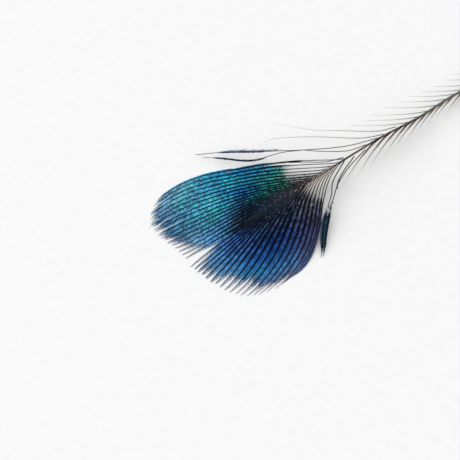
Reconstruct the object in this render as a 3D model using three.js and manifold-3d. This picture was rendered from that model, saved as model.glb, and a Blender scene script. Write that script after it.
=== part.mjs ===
// A peacock's crest feather, lying on a flat surface. One grown piece, in millimetres, +Z up.
//
// While it is built, X = 0 is where the fan leaves the bare part of the shaft: the fan points to -X
// and the quill to +X. At the end the whole feather is shifted, so that its origin is at the middle
// of its underside.
import * as THREE from "three";
import { mergeVertices } from "three/addons/utils/BufferGeometryUtils.js";
import Module from "manifold-3d";

const wasm = await Module();
wasm.setup();

// --- Driving dimensions ---------------------------------------------------------------------

const QUILL_END_X = 35.5; // the cut end of the bare quill
const SHAFT_TIP_X = -12.5; // where the shaft has thinned away inside the fan
const SHAFT_SIDES = 6;
const SHAFT_STEPS = 26;

// Radius of the shaft along X, from the fan's middle to the quill's rounded end.
const SHAFT_RADII = [
  [SHAFT_TIP_X, 0.05],
  [-8, 0.1],
  [0, 0.2],
  [12, 0.22],
  [24, 0.26],
  [29, 0.4],
  [34.6, 0.42],
  [QUILL_END_X, 0.2],
];

// How far the shaft sways to the side along X, in Y.
const SHAFT_SWAY = [
  [SHAFT_TIP_X, 0.4],
  [-5.6, 0.25],
  [0, -0.2],
  [8, -0.15],
  [15.4, -0.55],
  [22.9, -0.1],
  [QUILL_END_X, 0.9],
];

// The shaft stands up in a low arch between the quill's end and the fan's tip.
const ARCH_HEIGHT = 2.2;
const ARCH_FAN_FOOT_X = -20;
const ARCH_FAN_RUN = 24; // distance over which it rises from the fan's side
const ARCH_QUILL_FOOT_X = 37;
const ARCH_QUILL_RUN = 25;
const VAULT_HALF_WIDTH = 8.5; // the fan falls away from the arch to both sides over this distance
const BED = 0.12; // what lies lower than this in the vault lies flat on the surface

// Four key barbs of each vane, outermost first. Each is a cubic curve: root, two handles and tip,
// as [distance towards the fan's tip, distance out from the shaft]. The root sits on the shaft.
const RIGHT_VANE = {
  side: 1,
  barbs: 18,
  keys: [
    [[-4.5, 0], [-1.3, 0.6], [5.6, 12.5], [16.2, 10.3]],
    [[-0.2, 0], [2.3, 0.7], [8.7, 8.6], [18.9, 7.7]],
    [[4.2, 0], [4.9, 2.5], [12.7, 3.8], [19.1, 4.8]],
    [[8.5, 0], [9.7, 0.2], [14.7, 1.3], [18.9, 1.3]],
  ],
};
const LEFT_VANE = {
  side: -1,
  barbs: 19,
  keys: [
    [[-4.5, 0], [1.8, 0.2], [4.5, 8.5], [11.3, 8.5]],
    [[-0.2, 0], [4.5, 0.2], [6.9, 6.3], [17.0, 7.4]],
    [[4.2, 0], [6.2, 0.2], [16.1, 3.5], [18.5, 3.8]],
    [[8.5, 0], [9.7, 0.2], [14.6, -0.8], [19.2, 0.1]],
  ],
};
const OUTERMOST_BARB_STEPS = 12;
const INNERMOST_BARB_STEPS = 7;
const BARB_RIDGE = 0.3; // height of a barb's ridge over its underside
const BARB_LAP = 0.06; // how far a barb's one edge is raised to lap over its neighbour
const STEEPEST_RIDGE = 1.6; // the same height against half the barb's width, at most
const NARROWEST_INNER_WEB = 0.26; // half width of the web of the inner barbs, where they crowd
const BARE_HALF_WIDTH = 0.08; // a barb's bare stalk, before its barbules begin
const TIP_HALF_WIDTH = 0.05;
const WEB_OVERLAP = 1.18; // each barb's width, against the distance to its neighbours
const LONGEST_STALK = 0.34; // bare share of the outermost barb
const STALK_END_SHARE = 0.5; // barbs further in than this share of the vane are webbed from the root
const WEB_OPENING = 0.1; // share of a barb over which its web opens to its full width
const FREE_TIP_SHARE = 0.2; // share of a barb that narrows to its free tip

// Loose barbs that have come out of the vanes: where each leaves the shaft along X, and the points
// that it passes through from there to its tip, as [x, y, z]. They still carry a narrow web.
const LOOSE_BARBS = [
  // The right clump.
  {
    rootX: 9.3,
    halfWidth: 0.28,
    path: [[5.5, 1.5, 2.2], [1.4, 4.4, 1.9], [-2.2, 7.7, 1.4], [-5, 10.3, 1], [-8.3, 13.1, 0.3]],
  },
  // A thinner barb that branches off it, and so has no root on the shaft.
  {
    halfWidth: 0.16,
    path: [[1.4, 4.4, 1.9], [-0.8, 6.2, 1.6], [-3.1, 7.4, 1.2], [-6.3, 10.3, 0.7], [-7.8, 12.2, 0.3]],
  },
  // The left clump's two barbs.
  {
    rootX: 4,
    halfWidth: 0.28,
    path: [[1, -1.6, 1.95], [-0.5, -3, 1.7], [-2.2, -4.2, 1.4], [-4.2, -5.6, 0.9], [-6.9, -8.6, 0.1]],
  },
  {
    rootX: 5.2,
    halfWidth: 0.28,
    path: [[2.2, -1.6, 2.05], [0.5, -2.7, 1.8], [-1.7, -4.3, 1.4], [-3.7, -6, 0.9], [-6.3, -8.5, 0.1]],
  },
];
// Bare stalks that leave the shaft by themselves and join a loose barb or the outermost barb.
const JOINING_STALKS = [
  { rootX: 7.6, path: [[5.2, 0.8, 2.2], [2.8, 2.9, 2], [1.4, 4.4, 1.9]] },
  { rootX: 4.1, path: [[2.2, 1.2, 2], [0.4, 2.9, 1.75], [-1, 4.2, 1.5]] },
  { rootX: 6.9, path: [[3.6, -1.3, 2.1], [1.3, -2.2, 1.9], [0.6, -2.8, 1.8]] },
];
// Two long barbs that have lost all their web.
const LONG_HAIRS = [
  { rootX: 10.3, path: [[7.7, 1.3, 2.3], [3.7, 5.3, 1.9], [0.4, 8.1, 1.5], [-2.3, 8.8, 1]] },
  { rootX: 12.2, path: [[9.9, 0.9, 2.35], [6.7, 3.8, 2.2], [4.8, 5.6, 2], [1.4, 10.8, 1.5]] },
];
const LOOSE_SIDES = 4;
const LOOSE_STEPS = 8;
const LOOSE_STALK_SHARE = 0.45; // a loose barb is bare up to this share of its length
const LOOSE_FLATNESS = 0.5; // its thickness, against its width

// Downy barbs along the bare shaft, from the fan to the quill. They shorten from the longest to the
// shortest by a power of their place in the row.
const DOWN_ROWS = [
  {
    side: 1,
    count: 10,
    firstX: 14.35,
    lastX: 28.8,
    rootHeading: 20,
    tipHeading: 40,
    longest: 7.6,
    shortest: 4.8,
    power: 1,
  },
  {
    side: -1,
    count: 13,
    firstX: 9.6,
    lastX: 28.8,
    rootHeading: 8,
    tipHeading: 25,
    longest: 11,
    shortest: 5.8,
    power: 3,
  },
];
const DOWN_BEND_SHARE = 0.33; // it turns from its root's heading to its tip's about here
const DOWN_LIFT = 0.1; // how far a downy barb's tip stands higher than its root
const DOWN_ROOT_RADIUS = 0.1;
const DOWN_TIP_RADIUS = 0.03;
const DOWN_SIDES = 3;
const DOWN_STEPS = 3;

// --- Curves ---------------------------------------------------------------------------------

const smoothStep = (share) => THREE.MathUtils.smoothstep(share, 0, 1);

// A value that passes smoothly through a list of [x, value] pairs.
function along(pairs, x) {
  const found = pairs.findIndex(([place]) => place >= x);
  const after = found < 0 ? pairs.length - 1 : Math.max(1, found);
  const [fromX, from] = pairs[after - 1];
  const [toX, to] = pairs[after];
  return THREE.MathUtils.lerp(from, to, smoothStep((x - fromX) / (toX - fromX)));
}

// Height of the arch's underside over the surface, at a place along X.
function archHeight(x) {
  const fromFan = smoothStep((x - ARCH_FAN_FOOT_X) / ARCH_FAN_RUN);
  const fromQuill = smoothStep((ARCH_QUILL_FOOT_X - x) / ARCH_QUILL_RUN);
  return ARCH_HEIGHT * fromFan * fromQuill;
}

// Height of the fan's underside: the arch, falling away to both sides, with its rim flat.
function vaultHeight(x, y) {
  const fall = 1 - (y / VAULT_HALF_WIDTH) ** 2;
  return Math.max(0, archHeight(x) * fall - BED);
}

// Each key barb's part in a barb that stands at this share of the vane: the weights of a smooth
// curve through the four keys, 0 for the outermost barb and 1 for the innermost.
function keyWeights(share) {
  const places = [0, 1 / 3, 2 / 3, 1];
  return places.map((own, i) =>
    places.reduce(
      (weight, other, j) => (i === j ? weight : (weight * (share - other)) / (own - other)),
      1,
    ),
  );
}

// The centre line of one barb, seen from above.
function barbCurve(vane, share) {
  const weights = keyWeights(share);
  const controls = [0, 1, 2, 3].map((control) => {
    const point = new THREE.Vector2();
    vane.keys.forEach((key, i) => {
      point.x -= weights[i] * key[control][0];
      point.y += weights[i] * key[control][1] * vane.side;
    });
    return point;
  });
  controls[0].y = along(SHAFT_SWAY, controls[0].x);
  return new THREE.CubicBezierCurve(...controls);
}

// --- Solids ---------------------------------------------------------------------------------

// Closes a list of rings of points, which all have the same number, into a solid.
function solidFromRings(rings) {
  const sides = rings[0].length;
  const corners = [];
  const corner = (ring, side) => rings[ring][side % sides];
  const triangle = (a, b, c) => corners.push(...a.toArray(), ...b.toArray(), ...c.toArray());
  for (let ring = 0; ring + 1 < rings.length; ring += 1) {
    for (let side = 0; side < sides; side += 1) {
      triangle(corner(ring, side), corner(ring, side + 1), corner(ring + 1, side + 1));
      triangle(corner(ring, side), corner(ring + 1, side + 1), corner(ring + 1, side));
    }
  }
  for (let side = 1; side + 1 < sides; side += 1) {
    const end = rings.length - 1;
    triangle(corner(0, 0), corner(0, side + 1), corner(0, side));
    triangle(corner(end, 0), corner(end, side), corner(end, side + 1));
  }
  const shape = new THREE.BufferGeometry();
  shape.setAttribute("position", new THREE.Float32BufferAttribute(corners, 3));
  const merged = mergeVertices(shape, 1e-4);
  const vertProperties = new Float32Array(merged.attributes.position.array);
  const outward = new Uint32Array(merged.index.array);
  const solid = new wasm.Manifold(new wasm.Mesh({ numProp: 3, vertProperties, triVerts: outward }));
  if (solid.volume() > 0) return solid;
  return new wasm.Manifold(
    new wasm.Mesh({ numProp: 3, vertProperties, triVerts: outward.toReversed() }),
  );
}

// One barb: a low roof, with a flat underside, a ridge over its centre line and pointed ends.
// frames lists its stations from root to tip, each with a centre, a level sideways direction,
// a half width and a ridge height. Where the fan is off the surface, one edge laps over the next barb.
function roofedBarb(frames) {
  return solidFromRings(
    frames.map(({ centre, across, halfWidth, ridge }) => {
      const left = centre.clone().addScaledVector(across, halfWidth);
      const right = centre.clone().addScaledVector(across, -halfWidth);
      const height = vaultHeight(centre.x, centre.y);
      const lap = Math.min(BARB_LAP, height);
      return [
        new THREE.Vector3(left.x, left.y, vaultHeight(left.x, left.y) + lap),
        new THREE.Vector3(right.x, right.y, vaultHeight(right.x, right.y)),
        new THREE.Vector3(centre.x, centre.y, height + ridge),
      ];
    }),
  );
}

// Half width of a vane barb at a share of its length: a bare stalk, then the web, then a free tip.
function barbHalfWidth(share, stalk, web) {
  const opened = smoothStep((share - stalk) / WEB_OPENING);
  const freed = smoothStep((share - (1 - FREE_TIP_SHARE)) / FREE_TIP_SHARE);
  const whole = THREE.MathUtils.lerp(BARE_HALF_WIDTH, web, opened);
  return THREE.MathUtils.lerp(whole, TIP_HALF_WIDTH, freed);
}

function vaneBarbs(vane) {
  const curves = Array.from({ length: vane.barbs }, (_, k) => barbCurve(vane, k / (vane.barbs - 1)));
  return curves.map((curve, k) => {
    const inward = k / (vane.barbs - 1);
    const neighbour = curves[k === 0 ? 1 : k - 1];
    const webbed = smoothStep(inward / STALK_END_SHARE);
    const stalk = THREE.MathUtils.lerp(LONGEST_STALK, -WEB_OPENING / 2, webbed);
    const steps = Math.round(THREE.MathUtils.lerp(OUTERMOST_BARB_STEPS, INNERMOST_BARB_STEPS, inward));
    const frames = Array.from({ length: steps + 1 }, (_, step) => {
      const share = step / steps;
      const centre = curve.getPoint(share);
      const tangent = curve.getTangent(share);
      const across = new THREE.Vector2(-tangent.y, tangent.x);
      const gap = Math.abs(neighbour.getPoint(share).sub(centre).dot(across));
      const web = Math.max((gap / 2) * WEB_OVERLAP, NARROWEST_INNER_WEB * webbed);
      const halfWidth = barbHalfWidth(share, stalk, web);
      const ridge = Math.min(BARB_RIDGE, halfWidth * STEEPEST_RIDGE);
      return { centre, across, halfWidth, ridge };
    });
    return roofedBarb(frames);
  });
}

// A tapering round rod along a curve.
function rod(curve, radiusAt, sides, steps, flatness = 1) {
  const turns = Array.from({ length: sides }, (_, i) => (2 * Math.PI * i) / sides);
  const rings = Array.from({ length: steps + 1 }, (_, step) => {
    const share = step / steps;
    const centre = curve.getPoint(share);
    const tangent = curve.getTangent(share);
    const across = new THREE.Vector3(-tangent.y, tangent.x, 0).normalize();
    const upright = new THREE.Vector3().crossVectors(tangent, across);
    const radius = radiusAt(share, centre);
    return turns.map((turn) =>
      centre
        .clone()
        .addScaledVector(across, radius * Math.sin(turn))
        .addScaledVector(upright, radius * flatness * -Math.cos(turn)),
    );
  });
  return solidFromRings(rings);
}

// The middle of the shaft, at a place along X.
function shaftCentre(x) {
  return new THREE.Vector3(x, along(SHAFT_SWAY, x), archHeight(x) + along(SHAFT_RADII, x));
}

function shaft() {
  const places = Array.from({ length: SHAFT_STEPS + 1 }, (_, step) =>
    THREE.MathUtils.lerp(QUILL_END_X, SHAFT_TIP_X, step / SHAFT_STEPS),
  );
  const curve = new THREE.CatmullRomCurve3(places.map(shaftCentre));
  return rod(curve, (_, centre) => along(SHAFT_RADII, centre.x), SHAFT_SIDES, SHAFT_STEPS);
}

function looseBarb({ rootX, halfWidth = BARE_HALF_WIDTH, path }) {
  const points = path.map((point) => new THREE.Vector3(...point));
  if (rootX !== undefined) points.unshift(shaftCentre(rootX));
  const radiusAt = (share) => {
    const webbed = Math.max(0, (share - LOOSE_STALK_SHARE) / (1 - LOOSE_STALK_SHARE));
    const web = THREE.MathUtils.lerp(BARE_HALF_WIDTH, halfWidth, Math.sin(Math.PI * webbed));
    return share < 1 ? web : DOWN_TIP_RADIUS;
  };
  const curve = new THREE.CatmullRomCurve3(points);
  return rod(curve, radiusAt, LOOSE_SIDES, LOOSE_STEPS, LOOSE_FLATNESS);
}

function downyBarbs(row) {
  return Array.from({ length: row.count }, (_, i) => {
    const share = i / (row.count - 1);
    const length = row.shortest + (row.longest - row.shortest) * (1 - share) ** row.power;
    const stretch = (reach, heading, lift) => {
      const turn = THREE.MathUtils.degToRad(heading);
      return new THREE.Vector3(-reach * Math.cos(turn), row.side * reach * Math.sin(turn), lift);
    };
    const root = shaftCentre(THREE.MathUtils.lerp(row.firstX, row.lastX, share));
    const bend = root.clone().add(stretch(length * DOWN_BEND_SHARE, row.rootHeading, 0));
    const tip = bend.clone().add(stretch(length * (1 - DOWN_BEND_SHARE), row.tipHeading, DOWN_LIFT));
    const curve = new THREE.QuadraticBezierCurve3(root, bend, tip);
    const radiusAt = (reach) => THREE.MathUtils.lerp(DOWN_ROOT_RADIUS, DOWN_TIP_RADIUS, reach);
    return rod(curve, radiusAt, DOWN_SIDES, DOWN_STEPS);
  });
}

// --- The feather ----------------------------------------------------------------------------

const pieces = [
  shaft(),
  ...vaneBarbs(RIGHT_VANE),
  ...vaneBarbs(LEFT_VANE),
  ...[...LOOSE_BARBS, ...JOINING_STALKS, ...LONG_HAIRS].map(looseBarb),
  ...DOWN_ROWS.flatMap(downyBarbs),
];
const joined = pieces.reduce((whole, piece) => whole.add(piece)).getMesh();
const geometry = new THREE.BufferGeometry();
geometry.setAttribute("position", new THREE.BufferAttribute(joined.vertProperties, 3));
geometry.setIndex(new THREE.BufferAttribute(joined.triVerts, 1));
const flatShaded = geometry.toNonIndexed();
flatShaded.computeVertexNormals();
flatShaded.computeBoundingBox();

const keratin = new THREE.MeshStandardMaterial({ color: 0x12506e, roughness: 0.45, metalness: 0.2 });
const feather = new THREE.Mesh(flatShaded, keratin);
feather.name = "feather";
const middle = flatShaded.boundingBox.getCenter(new THREE.Vector3());
feather.position.set(-middle.x, -middle.y, -flatShaded.boundingBox.min.z);

const part = new THREE.Group();
part.add(feather);
export default part;
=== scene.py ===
# %% [markdown]
# # A peacock's crest feather, lying on a pale table
#
# A crest feather is a fan on a long bare stem. Its parts each get a cell of their own: the shaft, the
# barbs of the fan, the barbules that colour them, the loose barbs that have slipped out of the fan,
# and the hairs and downy barbs along the stem. All of them are thin spikes on curved paths, so one
# function makes every piece, and the work goes into the paths and the colours.

# %% Frame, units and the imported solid
import math

import bpy
import numpy as np
from mathutils import Matrix


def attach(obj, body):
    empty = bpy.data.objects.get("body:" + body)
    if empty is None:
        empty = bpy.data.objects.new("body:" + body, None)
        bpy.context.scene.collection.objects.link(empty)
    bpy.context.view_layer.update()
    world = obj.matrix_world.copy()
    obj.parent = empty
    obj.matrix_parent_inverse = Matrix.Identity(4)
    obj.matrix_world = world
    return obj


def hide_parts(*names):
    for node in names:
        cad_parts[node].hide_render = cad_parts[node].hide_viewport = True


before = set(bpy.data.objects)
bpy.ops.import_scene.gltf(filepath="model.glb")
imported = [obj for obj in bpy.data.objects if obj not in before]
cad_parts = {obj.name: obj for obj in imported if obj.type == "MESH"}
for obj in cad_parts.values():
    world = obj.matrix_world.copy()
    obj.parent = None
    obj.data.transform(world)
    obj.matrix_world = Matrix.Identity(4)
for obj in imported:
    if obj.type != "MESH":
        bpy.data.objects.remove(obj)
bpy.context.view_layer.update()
scene = bpy.context.scene
MM = 0.001  # the script works in millimetres and its meshes are in metres
FAN_ROOT = np.array([-8.161, -2.24, 0.0])  # where the fan leaves the bare shaft, in the row frame

# %% [markdown]
# ## The form that everything follows
#
# The feather touches the table with the rim of its fan and with the end of its quill. Between them
# the shaft is arched, and across the fan the vane is vaulted, highest along the shaft. Lengths are
# measured from the fan's root: the fan points to -X and the quill to +X. An ease is used for
# each of these changes because a grown part has no corners.

# %% The arch, the vault and the shaft's line
QUILL_END_X = 35.5
SHAFT_TIP_X = -12.5
SHAFT_RADII = [
    (SHAFT_TIP_X, 0.03), (-7, 0.055), (-3, 0.075), (0, 0.09), (5, 0.12),
    (12, 0.13), (24, 0.16), (29, 0.38), (34.6, 0.42), (QUILL_END_X, 0.2),
]
SHAFT_SWAY = [
    (SHAFT_TIP_X, 0.5), (-6.5, 0.5), (0, -0.15), (8, -0.15),
    (15.4, -0.55), (22.9, -0.1), (QUILL_END_X, 0.9),
]
ARCH_HEIGHT = 2.2
ARCH_FAN_FOOT_X, ARCH_FAN_RUN = -20, 24
ARCH_QUILL_FOOT_X, ARCH_QUILL_RUN = 37, 25
VAULT_HALF_WIDTH = 8.5
BED = 0.12
RIDGE_RISE = 0.16  # of the shaft inside the fan, so that it stands proud of the webs


def ease(low, high, value):
    """3t² - 2t³, where t is value's place between low and high, held between 0 and 1."""
    t = np.clip((value - low) / (high - low), 0, 1)
    return t * t * (3 - 2 * t)


def along(keys, x):
    """The value at x, eased from each (place, value) key to the next."""
    places, values = np.array(keys, float).T
    i = np.clip(np.searchsorted(places, x, side="right") - 1, 0, len(places) - 2)
    share = ease(0, 1, (x - places[i]) / (places[i + 1] - places[i]))
    return values[i] + (values[i + 1] - values[i]) * share


def arch_height(x):
    """ARCH_HEIGHT times an ease up from the fan's foot times an ease down to the quill's foot."""
    up = ease(0, ARCH_FAN_RUN, x - ARCH_FAN_FOOT_X)
    return ARCH_HEIGHT * up * ease(0, ARCH_QUILL_RUN, ARCH_QUILL_FOOT_X - x)


def vault_height(x, y):
    """The arch times a parabola across the fan, sunk by BED and cut off at the table."""
    return np.maximum(0, arch_height(x) * (1 - (y / VAULT_HALF_WIDTH) ** 2) - BED)


def shaft_centre(x):
    """The shaft's middle over x: its sway to the side, and its own radius above the arch."""
    height = arch_height(x) + along(SHAFT_RADII, x) + RIDGE_RISE * ease(-1, -4, x)
    return np.stack([x, along(SHAFT_SWAY, x), height], -1)


print("top of the arch, mm:", round(shaft_centre(np.linspace(-12, 35, 200))[:, 2].max(), 2))

# %% [markdown]
# ## One spike, made thousands at a time
#
# A barb, a barbule, a downy hair and the shaft are all long cones that bend. numpy can make all the
# spikes of one kind in one go when their paths are one array: which spike, which station along it,
# and x, y, z. Every spike closes on a point at its tip and on a small cap at its root, so it
# is a closed body with its faces outwards.
#
# Each spike also gets a cell of its own in the piece's UV map, and every vertex carries a few plain
# numbers, such as how far along its barb it sits. The materials read those numbers, so a colour
# follows the feather and not the room.


# %% Paths, spikes and pieces
def unit(vectors):
    """Vectors divided by their lengths."""
    return vectors / np.linalg.norm(vectors, axis=-1, keepdims=True)


def directions(paths):
    """Forward along each path, across it and level with the table, and up, square to both."""
    forward = unit(np.gradient(paths, axis=-2))
    level = np.stack([-forward[..., 1], forward[..., 0], 0 * forward[..., 0]], -1)
    across = unit(level)
    return forward, across, np.cross(forward, across)


def curve_through(points, count):
    """A Catmull-Rom curve through the points, as count places at even steps."""
    p = np.array(points, float)
    p = np.concatenate([[2 * p[0] - p[1]], p, [2 * p[-1] - p[-2]]])
    place = np.linspace(0, len(points) - 1, count)
    i = np.minimum(place.astype(int), len(points) - 2)
    t = (place - i)[:, None]
    a, b, c, d = p[i], p[i + 1], p[i + 2], p[i + 3]
    return b + (t * (c - a) + t**2 * (2 * a - 5 * b + 4 * c - d) + t**3 * (3 * b - a - 3 * c + d)) / 2


def round_ring(sides, flatness=1.0):
    """A section of sides points on an oval whose height is flatness times its width."""
    turn = np.arange(sides) * 2 * np.pi / sides
    return np.stack([np.cos(turn), flatness * np.sin(turn)], -1)


FINE_RING = round_ring(6)  # of every spike too thin for its section to show
ROOF_RING = np.array([[1.0, 0.0], [0.0, 0.45], [-1.0, 0.0]])
CELL_MARGIN = 0.04


def spikes(paths, radii, ring=FINE_RING, roll=0.0, rows=1, **values):
    """Closed spikes. A ring's point is path + radius · (a · across + u · up), with across and up
    turned by roll about the path. radii and values hold one number for each station of each path.
    rows is how many rows of cells the UV map has."""
    count, stations = paths.shape[:2]
    radii = np.broadcast_to(radii, (count, stations))
    cells = np.array([count // rows, rows])
    sides = len(ring)
    _, across, up = directions(paths)
    turn = np.broadcast_to(roll, (count,))[:, None, None]
    across, up = np.cos(turn) * across + np.sin(turn) * up, np.cos(turn) * up - np.sin(turn) * across
    around = ring[:, 0, None] * across[:, :-1, None] + ring[:, 1, None] * up[:, :-1, None]
    body = paths[:, :-1, None] + radii[:, :-1, None, None] * around
    index = np.arange(count * (stations - 1) * sides).reshape(count, stations - 1, sides)
    tip = index.size + np.arange(count)
    near, far, last = index[:, :-1], index[:, 1:], index[:, -1]
    quads = np.stack([near, np.roll(near, -1, 2), np.roll(far, -1, 2), far], -1)
    points = np.stack([last, np.roll(last, -1, 1), np.broadcast_to(tip[:, None], last.shape)], -1)
    caps = index[:, 0, ::-1]

    cell = np.arange(count)
    corner = np.stack([cell % cells[0], cell // cells[0]], -1)[:, None, None, None]
    side = np.arange(sides)
    step = np.arange(stations - 1)[:, None]
    quad_u = (side[:, None] + np.array([0, 1, 1, 0])) / sides
    quad_v = (step[:-1, :, None] + np.array([0, 0, 1, 1])) / (stations - 1)
    quad_uv = np.stack(np.broadcast_arrays(quad_u, quad_v), -1)
    point_v = (stations - 2 + np.array([0, 0, 1])) / (stations - 1)
    point_u = (side[:, None] + np.array([0, 1, 0.5])) / sides
    point_uv = np.stack(np.broadcast_arrays(point_u, point_v), -1)[None]
    cap_uv = np.stack([side[::-1] / sides, 0 * side], -1)[None, None]

    def placed(uv):
        inside = CELL_MARGIN + (1 - 2 * CELL_MARGIN) * uv
        return ((corner + inside) / cells).reshape(-1, 2)

    spread = {}
    for name, value in values.items():
        value = np.broadcast_to(value, (count, stations))
        rings = np.repeat(value[:, :-1, None], sides, 2)
        spread[name] = np.concatenate([rings.ravel(), value[:, -1]])
    return {
        "vertices": np.concatenate([body.reshape(-1, 3), paths[:, -1]]),
        "faces": [caps.reshape(-1, sides), quads.reshape(-1, 4), points.reshape(-1, 3)],
        "uv": np.concatenate([placed(cap_uv), placed(quad_uv), placed(point_uv)]),
        "values": spread,
    }


def new_object(name, data):
    """An object of the scene that holds the data."""
    made = bpy.data.objects.new(name, data)
    scene.collection.objects.link(made)
    return made


def new_piece(name, shape, material, smooth=True):
    """Puts a shape into a mesh object of that name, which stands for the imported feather."""
    mesh = bpy.data.meshes.new(name)
    faces = [face for group in shape["faces"] for face in group.tolist()]
    mesh.from_pydata(((shape["vertices"] + FAN_ROOT) * MM).tolist(), [], faces)
    mesh.polygons.foreach_set("use_smooth", np.full(len(faces), smooth))
    mesh.uv_layers.new(name="OFBake").uv.foreach_set("vector", shape["uv"].ravel().astype(np.float32))
    for label, value in shape["values"].items():
        mesh.attributes.new(label, "FLOAT", "POINT").data.foreach_set("value", value.astype(np.float32))
    mesh.materials.append(material)
    mesh.update()
    piece = new_object(name, mesh)
    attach(piece, "root")
    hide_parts("feather")
    print(f"{name}: {sum(len(face) - 2 for face in faces)} triangles")


# %% [markdown]
# ## Shader sums written as Python
#
# A material here is a sum: a ramp along the barb, times a dark stripe of painted shade, plus a little
# noise.
# Wrapping a node's output in a small class lets Python's own operators add the Math nodes, so the
# sum can be read in one line. One method adds any other node: its settings first, then its inputs.


# %% The wire class
def srgb(red, green, blue):
    """A colour as a screen shows it, 0 to 255, turned into the linear light that shaders use."""
    c = np.array([red, green, blue]) / 255
    linear = np.where(c <= 0.04045, c / 12.92, ((c + 0.055) / 1.055) ** 2.4)
    return (*linear.tolist(), 1.0)


class Wire:
    """An output socket. Arithmetic on wires adds Math nodes to their material."""

    def __init__(self, tree, socket=None):
        self.tree = tree
        self.socket = socket

    def node(self, kind, settings=None, inputs=None, output=0):
        """Adds a node, makes its settings or fills its ramp, and joins or sets its inputs."""
        made = self.tree.nodes.new(kind)
        for name, value in (settings or {}).items():
            if name == "stops":
                for _ in value[2:]:
                    made.color_ramp.elements.new(0.5)
                for element, (place, colour) in zip(made.color_ramp.elements, value):
                    element.position = place
                    element.color = srgb(*colour)
            else:
                setattr(made, name, value)
        for name, value in (inputs or {}).items():
            if isinstance(value, Wire):
                self.tree.links.new(value.socket, made.inputs[name])
            else:
                made.inputs[name].default_value = value
        return Wire(self.tree, made.outputs[output])

    def math(self, operation, first, second):
        return self.node("ShaderNodeMath", {"operation": operation}, {0: first, 1: second})

    def __add__(self, other):
        return self.math("ADD", self, other)

    def __sub__(self, other):
        return self.math("SUBTRACT", self, other)

    def __rsub__(self, other):
        return self.math("SUBTRACT", other, self)

    def __mul__(self, other):
        return self.math("MULTIPLY", self, other)

    __radd__ = __add__

    def eased(self, low, high, start=0.0, end=1.0):
        """start to end with an ease, as the wire goes from low to high."""
        limits = {"From Min": low, "From Max": high, "To Min": start, "To Max": end}
        settings = {"interpolation_type": "SMOOTHSTEP"}
        return self.node("ShaderNodeMapRange", settings, {"Value": self, **limits})

    def ramp(self, *stops):
        """The colour at this place on a ramp of (place, colour) stops."""
        return self.node("ShaderNodeValToRGB", {"stops": stops}, {0: self})

    def mix(self, first, second):
        """first where the wire is 0 and second where it is 1."""
        inputs = {0: self, 6: first, 7: second}
        return self.node("ShaderNodeMix", {"data_type": "RGBA"}, inputs, output=2)

    def value(self, name):
        """A number that the mesh carries at its vertices."""
        return self.node("ShaderNodeAttribute", {"attribute_name": name}, output=2)

    def joined(self, x, y, z):
        return self.node("ShaderNodeCombineXYZ", inputs={0: x, 1: y, 2: z})

    def noise(self, place, scale, detail):
        inputs = {"Vector": place, "Scale": scale, "Detail": detail}
        return self.node("ShaderNodeTexNoise", inputs=inputs)

    def grain(self, x, y, z=0.0, detail=2.0):
        """Noise over numbers that the mesh carries. The larger a number's factor, the finer it is."""
        return self.noise(self.joined(x, y, z), 1.0, detail)

    def facing_down(self):
        """1 where the surface faces the table."""
        normal = self.node("ShaderNodeNewGeometry", output=3)
        height = self.node("ShaderNodeSeparateXYZ", inputs={0: normal}, output=2)
        return height.math("LESS_THAN", height, -0.1)


HORN_GLOSS = {"Specular_IOR_Level": 0.04}


def new_material(name, paint, *colours, **constants):
    """A Principled material. paint takes a wire and the colours, and returns the wires of the sockets
    that vary. The constants are those of horn if none are given."""
    material = bpy.data.materials.new(name)
    material.use_nodes = True
    tree = material.node_tree
    shader = tree.nodes["Principled BSDF"]
    for socket, value in (constants or HORN_GLOSS).items():
        shader.inputs[socket.replace("_", " ")].default_value = value
    for socket, wire in paint(Wire(tree), *colours).items():
        tree.links.new(wire.socket, shader.inputs[socket.replace("_", " ")])
    print(f"{name}: {len(tree.nodes)} nodes")
    return material


# %% [markdown]
# ## The barbs' lines
#
# The barbs of one vane fan out from the shaft like the ribs of a hand fan, and each is a smooth
# S or C. Drawing forty curves by hand would be slow and would not look grown. Instead four
# barbs are drawn for each vane, at equal steps from the outermost to the innermost, and the
# controls of all the others are blended from those four, so their spacing changes smoothly.
#
# A vane's keys are the drawn barbs, each with four Bézier controls in millimetres, out from the
# fan's root and to the vane's own side. Bare holds the outermost barb's bare share and the power by
# which it shrinks inwards. The free tip has a least share, a growth towards the middle of the fan,
# and the power of that growth. Fluff sets in between two places across the vane.

# %% The fan's barbs
RIGHT_VANE = {
    "side": 1, "barbs": 18, "bare": (0.31, 2.2), "bare_radius": 0.045,
    "free_tip": (0.06, 0.26, 3.5), "fluff_from": (0.1, 0.3), "root_fluff": 1.0, "wander": 0.5,
    "keys": [
        [(-4.5, 0), (-1.3, 0.6), (5.6, 12.5), (16.2, 10.3)],
        [(-0.2, 0), (2.3, 0.7), (8.7, 8.6), (18.9, 7.7)],
        [(4.2, 0), (4.9, 2.5), (12.7, 3.8), (19.1, 4.8)],
        [(8.5, 0), (9.7, 0.2), (14.7, 1.3), (18.9, 1.3)],
    ],
}
LEFT_VANE = {
    "side": -1, "barbs": 19, "bare": (0.32, 1.3), "bare_radius": 0.055,
    "free_tip": (0.1, 0.27, 1.2), "fluff_from": (0.26, 0.46), "root_fluff": 0.0, "wander": 0.6,
    "keys": [
        [(-4.5, 0), (1.8, 0.2), (4.5, 8.5), (11.3, 8.5)],
        [(-0.2, 0), (4.5, 0.2), (6.9, 6.3), (17.0, 7.4)],
        [(4.2, 0), (6.2, 0.2), (16.1, 3.5), (18.5, 3.8)],
        [(8.5, 0), (9.7, 0.2), (14.6, -0.8), (19.2, 0.1)],
    ],
}
BARE_ENDS_AT = 0.5  # places across a vane run from 0, the outermost barb, to 1, the innermost
EDGE_DELAY = 0.08  # of the web on the outermost barb of each vane
WEB_OPENING = 0.14  # share of a barb over which its web opens
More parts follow.
